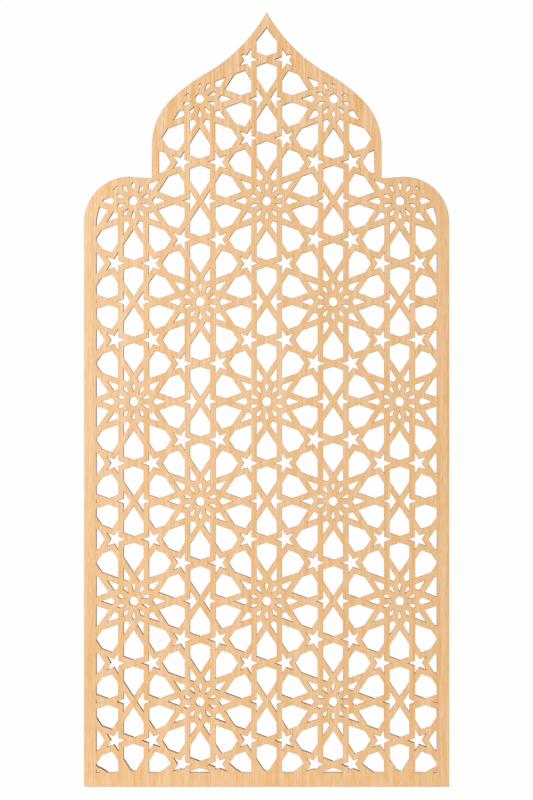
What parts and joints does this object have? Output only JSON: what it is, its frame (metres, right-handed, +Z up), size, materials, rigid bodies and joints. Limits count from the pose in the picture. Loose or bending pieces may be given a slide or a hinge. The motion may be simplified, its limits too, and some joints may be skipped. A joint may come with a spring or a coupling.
{
  "type": "mashrabiya screen",
  "caption": "Flat cut-through wooden screen with an ogee head on rounded shoulders, pierced all over with a ten-fold star lattice.",
  "frame": {"origin": "on the back face, at the middle of the bottom rail, where the panel is fixed", "axes": "+X to the right seen from the front, +Y through the sheet from the front face to the back face, +Z up the panel"},
  "size_m": [0.5662, 0.006, 1.2014],
  "materials": {
    "birch_plywood": "bare sanded birch plywood, with burnt brown cut edges"
  },
  "bodies": {
    "root": {"screen_panel": "birch_plywood"}
  },
  "joints": []
}
